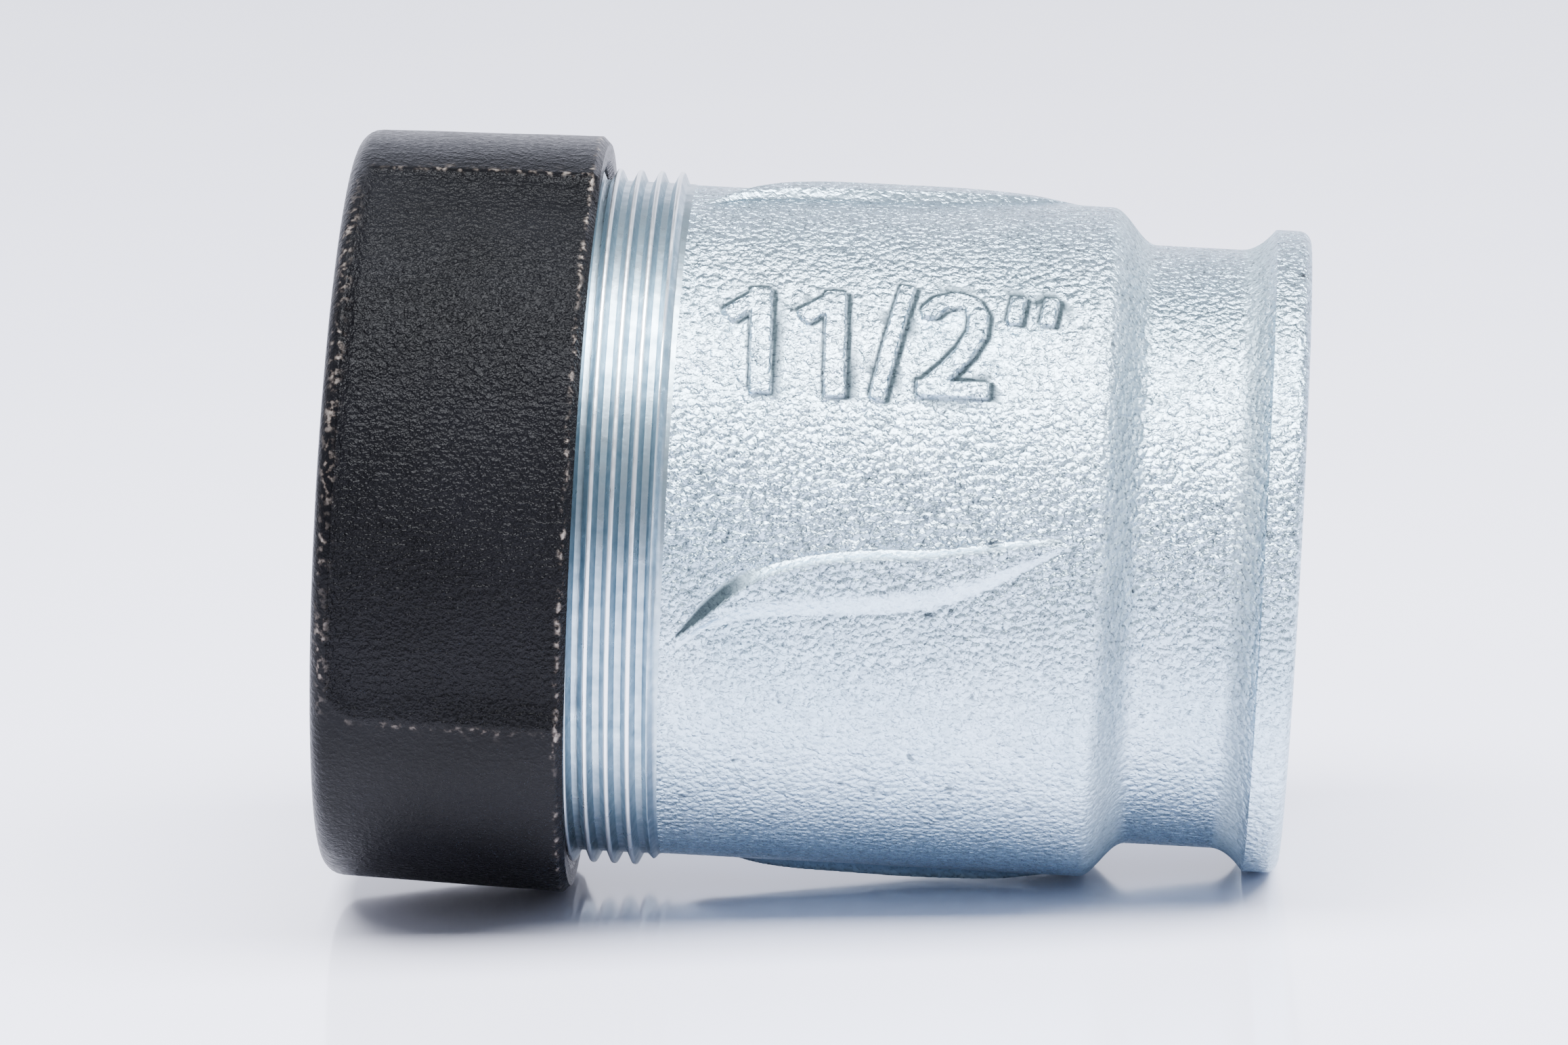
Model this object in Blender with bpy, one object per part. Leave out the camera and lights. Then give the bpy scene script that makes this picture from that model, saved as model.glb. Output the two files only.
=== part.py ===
"""Compression coupling for 1 1/2 inch steel pipe, lying along X.

A black union nut at -X screws onto a galvanised body and pushes a split clamping ring and a plain
pressure ring against a rubber seal. The +X end of the body takes a threaded pipe.
Angles are counted from the front of the piece (-Y) upwards to +Z. Stations are counted along X
from the outer face of the nut.
"""

import math

import bmesh
import bpy

MM = 0.001
TURN = 2 * math.pi

# Overall
LENGTH = 105.6 * MM
SEGMENTS = 40

# Parallel thread between body and nut, 11 turns to the inch, right-handed
PITCH = 25.4 / 11 * MM
FLANK = math.tan(math.radians(27.5))
CREST_FLAT = 0.30 * MM
BODY_CREST_R = 38.55 * MM
BODY_ROOT_R = 37.25 * MM
THREAD_PLAY = 0.35 * MM
THREAD_PHASE = 36.35 * MM  # a crest of the body crosses the front here
THREAD_FADE = 1.1 * MM
THREAD_RUN_OUT = 0.3 * MM

# Body, outside
BODY_START = 14.4 * MM
THREAD_START = 15.3 * MM
THREAD_END = 37.1 * MM
BARREL_R = 37.15 * MM
SHOULDER_START = 83.5 * MM
NECK_START = 88.6 * MM
NECK_END = 98.0 * MM
NECK_R = 33.20 * MM
BEAD_START = 101.7 * MM
BEAD_R = 35.60 * MM
BEAD_ROUND = 1.4 * MM

# Body, inside
SEAT_R = 32.60 * MM
SEAT_CONE_START = 29.5 * MM
SEAT_CONE_END = 33.6 * MM
SEAT_CONE_R = 28.50 * MM
PASSAGE_R = 25.30 * MM
PASSAGE_END = 37.6 * MM
CORE_R = 31.80 * MM
CORE_START = 41.5 * MM
CORE_END = 78.0 * MM
RELIEF_R = 24.30 * MM
RELIEF_START = 82.4 * MM
RELIEF_END = 84.0 * MM
TAPPED_R = 22.45 * MM
TAPPED_START = 85.8 * MM
MOUTH = 1.6 * MM

# Grip ribs on the barrel: four slanted leaves
RIB_COUNT = 4
RIB_START = 38.5 * MM
RIB_END = 80.9 * MM
RIB_HEIGHT = 1.3 * MM
RIB_HALF_WIDTH = 5.8  # degrees, at the middle
RIB_ANGLE = 2.3  # degrees, at the middle
RIB_SLANT = 3.5  # degrees from the middle to an end
RIB_CURL = 5.7  # degrees more towards the ends
RIB_ROOT_DEPTH = 0.9 * MM
RIB_STEPS = 14

# Nut
NUT_LENGTH = 27.5 * MM
NUT_R_OUTER_END = 41.50 * MM
NUT_R_OPEN_END = 42.05 * MM
NUT_SHOULDER = 2.3 * MM
NUT_CHAMFER = 1.5 * MM
NUT_HOLE_R = 25.50 * MM
NUT_WALL = 2.0 * MM
NUT_CONE_R = 27.30 * MM
NUT_CONE_END = 8.0 * MM
NUT_CONE_END_R = 32.00 * MM
NUT_RELIEF_END = 11.4 * MM
NUT_THREAD_END = 26.9 * MM

# Two shallow panels on the outside of the nut
PANEL_ANGLE = 24.9  # degrees, middle of the first one
PANEL_HALF = 48.7
PANEL_RAMP = 6.5
PANEL_R = 40.80 * MM
PANEL_RIM_R = 41.40 * MM
PANEL_RIM = 1.9 * MM
PANEL_FLOOR_START = 3.3 * MM

# Rings inside the nut
CLAMP_START = 2.4 * MM
CLAMP_END = 13.9 * MM
CLAMP_TIP_R = 26.90 * MM
CLAMP_R = 31.70 * MM
CLAMP_CONE_END = 8.6 * MM
CLAMP_BORE_R = 24.60 * MM
TOOTH_DEPTH = 0.7 * MM
TOOTH_COUNT = 3
CLAMP_GAP = 7.0 * MM
PRESSURE_START = 14.25 * MM
PRESSURE_END = 17.25 * MM
PRESSURE_R = 32.00 * MM
PRESSURE_BORE_R = 24.90 * MM
SEAL_START = 22.2 * MM
SEAL_BEND = 29.3 * MM
SEAL_END = 33.1 * MM
SEAL_R = 32.20 * MM
SEAL_TIP_R = 28.20 * MM
SEAL_BORE_R = 24.50 * MM


def clear_scene():
    for obj in list(bpy.data.objects):
        bpy.data.objects.remove(obj, do_unlink=True)


def material(name, colour, metallic, roughness):
    made = bpy.data.materials.new(name)
    made.use_nodes = True
    shader = made.node_tree.nodes["Principled BSDF"]
    shader.inputs["Base Color"].default_value = (*colour, 1)
    shader.inputs["Metallic"].default_value = metallic
    shader.inputs["Roughness"].default_value = roughness
    return made


def on_axis(station, radius, angle):
    """A point at this station, distance from the axis and angle, with the middle of the piece at X 0."""
    return (station - LENGTH / 2, -radius * math.cos(angle), radius * math.sin(angle))


def mesh_object(name, points, faces, finish):
    """A mesh object with its faces turned outwards and its round parts shaded smooth."""
    mesh = bpy.data.meshes.new(name)
    mesh.from_pydata(points, [], faces)
    tidy = bmesh.new()
    tidy.from_mesh(mesh)
    bmesh.ops.recalc_face_normals(tidy, faces=tidy.faces)
    tidy.to_mesh(mesh)
    tidy.free()
    mesh.shade_smooth()
    mesh.set_sharp_from_angle(angle=math.radians(25))
    mesh.materials.append(finish)
    made = bpy.data.objects.new(name, mesh)
    bpy.context.collection.objects.link(made)
    return made


def turned(name, outline, angles, finish):
    """A solid round the X axis. outline(angle) gives the (station, radius) points of its closed section.

    Points that fall on one another are shared, so a helix may run out at an end, and may join up with
    its next turn where the last angle meets the first.
    """
    points = []
    index = {}
    columns = []
    for angle in [*angles, angles[0] + TURN]:
        column = []
        for station, radius in outline(angle):
            point = on_axis(station, radius, angle)
            key = tuple(round(c * 1e7) for c in point)
            if key not in index:
                index[key] = len(points)
                points.append(point)
            column.append(index[key])
        columns.append(column)
    faces = []
    for left, right in zip(columns, columns[1:]):
        for row in range(len(left)):
            after = (row + 1) % len(left)
            corners = dict.fromkeys((left[row], left[after], right[after], right[row]))
            if len(corners) > 2:
                faces.append(list(corners))
    return mesh_object(name, points, faces, finish)


def even_angles(count):
    return [TURN * step / count for step in range(count)]


def arc(centre, radius, start, end, steps):
    """(station, radius) points of an arc, with its angles in degrees from +X."""
    points = []
    for step in range(steps + 1):
        angle = math.radians(start + (end - start) * step / steps)
        points.append((centre[0] + radius * math.cos(angle), centre[1] + radius * math.sin(angle)))
    return points


def thread(angle, start, end, crest, root, middle):
    """(station, radius) points along a right-hand thread at this angle, faded out at both ends.

    middle is the station of a ridge at angle 0. The helix runs towards +X as it goes down the front.
    """
    half_crest = CREST_FLAT / 2
    half_root = half_crest + abs(crest - root) * FLANK
    turns = math.ceil((end - start) / PITCH)
    first = start + (middle - start) % PITCH
    points = []
    for turn in range(-1, turns + 2):
        ridge = first + PITCH * (turn - angle / TURN)
        for offset, radius in (
            (-half_root, root),
            (-half_crest, crest),
            (half_crest, crest),
            (half_root, root),
        ):
            station = min(max(ridge + offset, start), end)
            fade = min(1, (station - start) / THREAD_FADE, (end - station) / THREAD_FADE)
            points.append((station, root + (radius - root) * fade))
    return points


# Body


def shoulder():
    """The S-shaped step from the barrel down to the neck."""
    steps = 5
    points = []
    for step in range(steps + 1):
        share = step / steps
        drop = (BARREL_R - NECK_R) * (1 - math.cos(math.pi * share)) / 2
        points.append((SHOULDER_START + (NECK_START - SHOULDER_START) * share, BARREL_R - drop))
    return points


def bead():
    """The hollow ramp up to the beaded end, and the bead's rounded corner."""
    steps = 3
    points = []
    for step in range(steps + 1):
        share = step / steps
        points.append((NECK_END + (BEAD_START - NECK_END) * share, NECK_R + (BEAD_R - NECK_R) * share**2))
    corner = (LENGTH - BEAD_ROUND, BEAD_R - BEAD_ROUND)
    return points + arc(corner, BEAD_ROUND, 90, 0, 3)


def body_inside():
    """The inside of the body from the tapped end back to the seal's seat."""
    return [
        (LENGTH, RELIEF_R),
        (LENGTH - MOUTH, TAPPED_R),
        (TAPPED_START, TAPPED_R),
        (RELIEF_END, RELIEF_R),
        (RELIEF_START, RELIEF_R),
        (CORE_END, CORE_R),
        (CORE_START, CORE_R),
        (PASSAGE_END, PASSAGE_R),
        (SEAT_CONE_END, PASSAGE_R),
        (SEAT_CONE_END, SEAT_CONE_R),
        (SEAT_CONE_START, SEAT_R),
        (BODY_START + MM, SEAT_R),
        (BODY_START, SEAT_R + MM),
    ]


def body_outline(angle):
    return [
        (BODY_START, BODY_ROOT_R - MM),
        *thread(angle, THREAD_START, THREAD_END, BODY_CREST_R, BODY_ROOT_R, THREAD_PHASE),
        (THREAD_END + THREAD_RUN_OUT, BARREL_R),
        *shoulder(),
        *bead(),
        *body_inside(),
    ]


def rib(number, finish):
    """A closed leaf-shaped pod, half sunk in the barrel."""
    sections = []
    for step in range(RIB_STEPS):
        place = (2 * step + 1) / RIB_STEPS - 1
        fullness = 1 - place**2
        station = (RIB_START + RIB_END) / 2 + (RIB_END - RIB_START) / 2 * place
        middle = 360 * number / RIB_COUNT + RIB_ANGLE + RIB_SLANT * place + RIB_CURL * place**3
        width = RIB_HALF_WIDTH * fullness**1.2
        height = RIB_HEIGHT * fullness**0.8
        low = BARREL_R - RIB_ROOT_DEPTH
        across = ((-1, low), (-0.75, BARREL_R + 0.6 * height), (0, BARREL_R + height))
        across += ((0.75, BARREL_R + 0.6 * height), (1, low))
        sections.append(
            [on_axis(station, radius, math.radians(middle + width * side)) for side, radius in across]
        )
    count = len(sections[0])
    points = [point for section in sections for point in section]
    faces = [tuple(range(count)), tuple(range(len(points) - count, len(points)))]
    for start in range(0, len(points) - count, count):
        for side in range(count):
            after = (side + 1) % count
            faces.append((start + side, start + after, start + count + after, start + count + side))
    made = mesh_object(f"rib_{number + 1}", points, faces, finish)
    made.hide_render = True
    made.display_type = "WIRE"
    return made


def join(base, tool, operation):
    boolean = base.modifiers.new(tool.name, "BOOLEAN")
    boolean.operation = operation
    boolean.solver = "EXACT"
    boolean.object = tool


def fitting_body(zinc):
    body = turned("fitting_body", body_outline, even_angles(SEGMENTS), zinc)
    for number in range(RIB_COUNT):
        join(body, rib(number, zinc), "UNION")
    return body


# Nut


def nut_angles():
    """Angles of the nut's columns, with one on every edge of its two panels."""
    spans = (
        (2 * (PANEL_HALF - PANEL_RAMP), 10),
        (PANEL_RAMP, 1),
        (180 - 2 * PANEL_HALF, 9),
        (PANEL_RAMP, 1),
    )
    angles = []
    at = PANEL_ANGLE - PANEL_HALF + PANEL_RAMP
    for _ in range(2):
        for width, steps in spans:
            angles += [math.radians(at + width * step / steps) for step in range(steps)]
            at += width
    return angles


def in_panel(angle):
    """1 on the floor of a panel, 0 on the plain outside, in between on the ramp."""
    from_middle = abs((math.degrees(angle) - PANEL_ANGLE + 90) % 180 - 90)
    return min(1, max(0, (PANEL_HALF - from_middle) / PANEL_RAMP))


def nut_outside(angle):
    """From the outer face over the rounded shoulder to the open end, with the panels sunk in.

    The panels run out through the chamfer of the open end.
    """
    panel = in_panel(angle)
    corner = (NUT_SHOULDER, NUT_R_OUTER_END - NUT_SHOULDER)
    shoulder_arc = arc(corner, NUT_SHOULDER, 180, 90, 4)
    end_radius = NUT_R_OPEN_END - NUT_CHAMFER
    plain = [
        *shoulder_arc,
        (NUT_LENGTH - NUT_CHAMFER, NUT_R_OPEN_END),
        (NUT_LENGTH, end_radius),
    ]
    sunk = [
        *shoulder_arc[:-2],
        (PANEL_RIM, PANEL_RIM_R),
        (PANEL_FLOOR_START, PANEL_R),
        (NUT_LENGTH - (PANEL_R - end_radius), PANEL_R),
        (NUT_LENGTH, end_radius),
    ]
    return [
        (a[0] + (b[0] - a[0]) * panel, a[1] + (b[1] - a[1]) * panel) for a, b in zip(plain, sunk)
    ]


def nut_outline(angle):
    """The nut's thread has its ridges half a pitch from the body's, with play all round."""
    root = BODY_CREST_R + THREAD_PLAY
    crest = BODY_ROOT_R + THREAD_PLAY
    ridges = thread(angle, NUT_RELIEF_END, NUT_THREAD_END, crest, root, THREAD_PHASE + PITCH / 2)
    return [
        *nut_outside(angle),
        (NUT_LENGTH, root + MM / 2),
        *reversed(ridges),
        (NUT_CONE_END, root),
        (NUT_CONE_END, NUT_CONE_END_R),
        (NUT_WALL, NUT_CONE_R),
        (NUT_WALL, NUT_HOLE_R),
        (0, NUT_HOLE_R),
    ]


# Rings


def clamping_outline(_angle):
    """A taper outside, and saw teeth inside that lean towards the nut's outer face."""
    outside = [
        (CLAMP_START, CLAMP_BORE_R + MM),
        (CLAMP_START, CLAMP_TIP_R),
        (CLAMP_CONE_END, CLAMP_R),
        (CLAMP_END, CLAMP_R),
        (CLAMP_END, CLAMP_BORE_R + TOOTH_DEPTH),
    ]
    length = (CLAMP_END - CLAMP_START - 2 * MM) / TOOTH_COUNT
    teeth = []
    for tooth in range(TOOTH_COUNT):
        tip = CLAMP_END - MM - tooth * length
        teeth.append((tip, CLAMP_BORE_R + TOOTH_DEPTH))
        teeth.append((tip - length * 0.8, CLAMP_BORE_R))
    return outside + teeth


def clamping_ring(steel):
    """The ring is split, so that the cones can close it on the pipe."""
    ring = turned("clamping_ring", clamping_outline, even_angles(SEGMENTS), steel)
    across = CLAMP_GAP / 2
    low = SEAL_BORE_R / 2
    high = NUT_R_OPEN_END
    first = CLAMP_START - MM - LENGTH / 2
    last = CLAMP_END + MM - LENGTH / 2
    corners = [(x, y, z) for x in (first, last) for y in (-across, across) for z in (low, high)]
    sides = [(0, 1, 3, 2), (4, 6, 7, 5), (0, 4, 5, 1), (2, 3, 7, 6), (0, 2, 6, 4), (1, 5, 7, 3)]
    cutter = mesh_object("split", corners, sides, steel)
    cutter.hide_render = True
    cutter.display_type = "WIRE"
    join(ring, cutter, "DIFFERENCE")
    return ring


def pressure_outline(_angle):
    return [
        (PRESSURE_START, PRESSURE_BORE_R),
        (PRESSURE_START, PRESSURE_R),
        (PRESSURE_END, PRESSURE_R),
        (PRESSURE_END, PRESSURE_BORE_R),
    ]


def seal_outline(_angle):
    """A thick rubber ring with one corner cut to the slope of its seat."""
    return [
        (SEAL_START, SEAL_BORE_R),
        (SEAL_START, SEAL_R),
        (SEAL_BEND, SEAL_R),
        (SEAL_END, SEAL_TIP_R),
        (SEAL_END, SEAL_BORE_R),
    ]


def main():
    clear_scene()
    zinc = material("galvanised_iron", (0.62, 0.66, 0.69), 1.0, 0.42)
    black = material("black_iron", (0.035, 0.035, 0.038), 0.6, 0.5)
    steel = material("ring_steel", (0.42, 0.36, 0.24), 1.0, 0.35)
    plated = material("washer_steel", (0.62, 0.62, 0.60), 1.0, 0.3)
    rubber = material("seal_rubber", (0.02, 0.02, 0.02), 0.0, 0.7)
    fitting_body(zinc)
    turned("union_nut", nut_outline, nut_angles(), black)
    clamping_ring(steel)
    turned("pressure_ring", pressure_outline, even_angles(SEGMENTS), plated)
    turned("sealing_ring", seal_outline, even_angles(SEGMENTS), rubber)


main()
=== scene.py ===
# %% [markdown]
# # A compression coupling for steel pipe
# A compression coupling joins the plain end of a steel pipe to a threaded one. A black nut screws
# onto a galvanised body and squeezes a split clamping ring, a pressure ring and a rubber seal onto
# the pipe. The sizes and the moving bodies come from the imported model, which is loaded first, and
# every visible piece is then made round that model's own axis.

# %% Load the frame
import math

import bmesh
import bpy
from mathutils import Matrix, Vector, noise


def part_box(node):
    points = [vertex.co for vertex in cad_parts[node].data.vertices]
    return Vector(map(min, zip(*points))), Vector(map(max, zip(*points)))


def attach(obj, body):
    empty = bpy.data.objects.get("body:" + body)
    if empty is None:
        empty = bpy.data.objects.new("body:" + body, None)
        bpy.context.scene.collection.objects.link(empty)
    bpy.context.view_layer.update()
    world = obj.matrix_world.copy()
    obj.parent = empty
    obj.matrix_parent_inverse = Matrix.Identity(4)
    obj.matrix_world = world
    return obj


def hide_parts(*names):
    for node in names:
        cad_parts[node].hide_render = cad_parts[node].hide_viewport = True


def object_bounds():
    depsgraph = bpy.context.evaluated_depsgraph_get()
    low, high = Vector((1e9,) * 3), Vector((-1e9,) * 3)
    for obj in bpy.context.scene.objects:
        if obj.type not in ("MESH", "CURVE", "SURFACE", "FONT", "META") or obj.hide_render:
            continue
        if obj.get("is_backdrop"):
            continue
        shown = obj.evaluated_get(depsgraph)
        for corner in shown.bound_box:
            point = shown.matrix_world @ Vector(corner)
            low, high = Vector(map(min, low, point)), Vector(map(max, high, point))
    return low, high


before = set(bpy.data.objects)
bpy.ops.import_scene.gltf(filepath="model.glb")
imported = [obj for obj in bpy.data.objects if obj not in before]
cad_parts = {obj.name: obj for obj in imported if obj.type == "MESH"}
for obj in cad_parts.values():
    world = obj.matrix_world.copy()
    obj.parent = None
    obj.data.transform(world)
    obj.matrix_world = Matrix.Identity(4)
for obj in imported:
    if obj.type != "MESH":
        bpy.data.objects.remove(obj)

MM = 0.001
TURN = 2 * math.pi
cad_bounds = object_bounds()
nut_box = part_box("union_nut")
body_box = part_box("fitting_body")
LENGTH = body_box[1].x - nut_box[0].x
print(f"coupling {LENGTH / MM:.1f} mm long, nut {(nut_box[1].y - nut_box[0].y) / MM:.1f} mm across")

# %% [markdown]
# ## Camera
# A long lens from about a metre away keeps the round ends almost edge-on, as in a catalogue view.
# The camera could be turned with Euler angles. Building its three axes from the line towards it is
# easier to check, because each axis is a direction that can be pointed at.

# %% Camera
FOCUS = Vector((-3.87 * MM, 0, 0.26 * MM))
FOCUS_DISTANCE = 1.0
LENS = 206.7
SENSOR = 36.0
ELEVATION = math.radians(11.5)
SIDE = 0.033
ROLL = math.radians(3.1)


def camera_axes():
    """The camera's right, up and back directions."""
    level = math.sqrt(1 - SIDE**2)
    back = Vector((SIDE, -level * math.cos(ELEVATION), level * math.sin(ELEVATION)))
    along = (Vector((1, 0, 0)) - back.x * back).normalized()
    above = back.cross(along)
    right = math.cos(ROLL) * along + math.sin(ROLL) * above
    return right, back.cross(right), back


def add_camera():
    right, up, back = camera_axes()
    lens = bpy.data.cameras.new("camera")
    lens.lens = LENS
    lens.sensor_width = SENSOR
    camera = bpy.data.objects.new("camera", lens)
    place = FOCUS + back * FOCUS_DISTANCE
    turned = Matrix((right, up, back)).transposed()
    camera.matrix_world = Matrix.Translation(place) @ turned.to_4x4()
    bpy.context.collection.objects.link(camera)
    bpy.context.scene.camera = camera
    print("camera at", [round(value, 3) for value in place])
    return camera


add_camera()

# %% [markdown]
# ## Materials
# Everything here is metal or rubber with a fine surface that no picture is needed for. Noise and
# cell patterns, measured in millimetres on the object itself, drive the colour, the roughness and
# the bump. Small helpers keep each finish down to the few numbers that make it what it is.


# %% Helpers for shader nodes
def node(tree, kind, inputs=(), **settings):
    """Adds a node, sets its properties, and links or sets its inputs."""
    made = tree.nodes.new(kind)
    for name, value in settings.items():
        setattr(made, name, value)
    for name, value in dict(inputs).items():
        socket = made.inputs[name]
        if isinstance(value, bpy.types.NodeSocket):
            tree.links.new(value, socket)
        else:
            socket.default_value = value
    return made


def new_material(name, **uniform):
    """A material with its tree and shader; uniform values go straight onto the shader's sockets."""
    made = bpy.data.materials.new(name)
    made.use_nodes = True
    tree = made.node_tree
    shader = tree.nodes["Principled BSDF"]
    for socket, value in uniform.items():
        shader.inputs[socket.replace("_", " ")].default_value = value
    return made, tree, shader


def in_mm(tree, stretch=(1, 1, 1)):
    """Object coordinates in millimetres, stretched along the axes where a finish has a direction."""
    place = node(tree, "ShaderNodeTexCoord").outputs["Object"]
    scale = tuple(1 / MM * value for value in stretch)
    return node(tree, "ShaderNodeMapping", {"Vector": place, "Scale": scale}).outputs["Vector"]


def noise_field(tree, place, size, detail=2.0, rough=0.5, distortion=0.0):
    """Noise from 0 to 1 whose blotches are about size millimetres across."""
    inputs = {"Vector": place, "Scale": 1 / size, "Detail": detail, "Roughness": rough}
    inputs["Distortion"] = distortion
    return node(tree, "ShaderNodeTexNoise", inputs).outputs["Fac"]


def cells(tree, place, size, feature="F1", smooth=0.6, output="Distance"):
    """A pattern of cells about size millimetres across: distance in a cell, or a colour for each."""
    inputs = {"Vector": place, "Scale": 1 / size}
    if feature == "SMOOTH_F1":
        inputs["Smoothness"] = smooth
    return node(tree, "ShaderNodeTexVoronoi", inputs, feature=feature).outputs[output]


def ramp(tree, value, *stops):
    """Turns a value into a colour or a grey, by stops of (position, grey or colour)."""
    made = node(tree, "ShaderNodeValToRGB", {"Fac": value})
    elements = made.color_ramp.elements
    while len(elements) < len(stops):
        elements.new(0.5)
    for element, (position, colour) in zip(elements, stops):
        element.position = position
        shade = colour if isinstance(colour, tuple) else (colour,) * 3
        element.color = (*shade, 1)
    return made.outputs["Color"]


def mixed(tree, share, first, second, blend="MIX"):
    """A mix of two colours."""
    made = node(tree, "ShaderNodeMix", data_type="RGBA", blend_type=blend)
    for number, value in ((0, share), (6, first), (7, second)):
        socket = made.inputs[number]
        if isinstance(value, bpy.types.NodeSocket):
            tree.links.new(value, socket)
        else:
            socket.default_value = value if number == 0 else (*value, 1)
    return made.outputs[2]


def carried(tree, label):
    """A number from 0 to 1 that the mesh carries at each of its points."""
    return node(tree, "ShaderNodeAttribute", attribute_name=label).outputs["Fac"]


def math_node(tree, operation, first, second):
    return node(tree, "ShaderNodeMath", {0: first, 1: second}, operation=operation).outputs[0]


def bumped(tree, shader, height, depth, before=None):
    """Adds a bump of this depth in millimetres to the shader, on top of an earlier one."""
    inputs = {"Height": height, "Distance": depth * MM, "Strength": 1.0}
    if before:
        inputs["Normal"] = before
    normal = node(tree, "ShaderNodeBump", inputs).outputs["Normal"]
    tree.links.new(normal, shader.inputs["Normal"])
    return normal


# %% [markdown]
# ### Galvanised casting
# The body is malleable iron, cast in sand and dipped in molten zinc. The sand leaves a cobbled
# grain under a millimetre across, and the zinc makes each cobble shine by itself. A cell pattern
# gives the cobbles, noise bends it so that no two are alike, and some of the crevices between them
# are dark. Where a point's mark is high the zinc is painted dark and matt: this is painted shade
# along the ribs, beside the figures and in the two hollows of the neck.


# %% Galvanised casting
COBBLE = 0.75


def cast_zinc():
    made, tree, shader = new_material("cast_zinc")
    place = in_mm(tree)
    coarse = carried(tree, "coarse")
    bend = noise_field(tree, place, 0.8, detail=2.0)
    bent = node(
        tree, "ShaderNodeVectorMath", {0: place, 1: bend}, operation="ADD"
    ).outputs["Vector"]
    cobbles = cells(tree, bent, COBBLE, "SMOOTH_F1", 0.3)
    cracks = cells(tree, bent, COBBLE, "DISTANCE_TO_EDGE")
    grain = noise_field(tree, place, 0.4, detail=3.0, rough=0.6)
    waves = noise_field(tree, place, 7.0, detail=2.0)
    clouds = noise_field(tree, place, 16.0, detail=3.0)
    pits = noise_field(tree, place, 1.9, detail=1.0)
    zinc = ramp(tree, clouds, (0.3, (0.46, 0.62, 0.73)), (0.7, (0.55, 0.70, 0.81)))
    crevices = ramp(tree, cracks, (0.0, 0.10), (0.20, 1.0))
    broken = ramp(tree, grain, (0.50, 1.0), (0.62, 0.0))
    crevices = mixed(tree, broken, crevices, (1, 1, 1))
    specks = ramp(tree, pits, (0.20, 0.3), (0.27, 1.0))
    facets = ramp(tree, cells(tree, bent, COBBLE, output="Color"), (0.2, 0.74), (0.7, 1.0))
    grains = mixed(tree, 1.0, facets, crevices, "MULTIPLY")
    grains = mixed(tree, coarse, (1, 1, 1), grains)
    colour = mixed(tree, 1.0, zinc, grains, "MULTIPLY")
    colour = mixed(tree, 1.0, colour, specks, "MULTIPLY")
    # Painted shade: where the mark is high the zinc is darkened nearly to black and loses its shine.
    painted_shade = math_node(tree, "MULTIPLY", carried(tree, "mark"), 0.96)
    colour = mixed(tree, painted_shade, colour, (0.015, 0.022, 0.025))
    tree.links.new(colour, shader.inputs["Base Color"])
    bright = math_node(tree, "SUBTRACT", 1.0, painted_shade)
    tree.links.new(bright, shader.inputs["Metallic"])
    tree.links.new(math_node(tree, "MULTIPLY", bright, 0.5), shader.inputs["Specular IOR Level"])
    dull = ramp(tree, grain, (0.3, 0.22), (0.7, 0.37))
    tree.links.new(mixed(tree, painted_shade, dull, (0.8, 0.8, 0.8)), shader.inputs["Roughness"])
    normal = bumped(tree, shader, waves, 0.12)
    tops = math_node(tree, "MULTIPLY", math_node(tree, "SUBTRACT", 1.0, cobbles), coarse)
    normal = bumped(tree, shader, tops, 0.30, normal)
    bumped(tree, shader, math_node(tree, "MULTIPLY", grain, coarse), 0.14, normal)
    return made


# %% [markdown]
# ### Cut zinc thread
# The thread was cut with a die and dipped with the body, so it has a thin zinc skin over tool
# marks that run round the body. The marks are noise that is squeezed along the axis. The crests
# are painted near white, brighter than the flanks: a painted highlight.


# %% Cut zinc thread
def threaded_zinc():
    made, tree, shader = new_material("threaded_zinc", Metallic=1.0)
    place = in_mm(tree)
    lines = noise_field(tree, in_mm(tree, (6, 0.5, 0.5)), 1.0, detail=3.0)
    blots = noise_field(tree, place, 1.6, detail=3.0)
    colour = ramp(tree, blots, (0.3, (0.25, 0.34, 0.40)), (0.65, (0.42, 0.52, 0.58)))
    # Painted highlight: the crests are coloured near white.
    crests = ramp(tree, carried(tree, "mark"), (0.80, 0.0), (0.97, 1.0))
    colour = mixed(tree, crests, colour, (0.90, 0.94, 0.97))
    tree.links.new(colour, shader.inputs["Base Color"])
    dull = ramp(tree, blots, (0.3, 0.36), (0.7, 0.26))
    tree.links.new(dull, shader.inputs["Roughness"])
    normal = bumped(tree, shader, lines, 0.02)
    bumped(tree, shader, blots, 0.05, normal)
    return made
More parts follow.
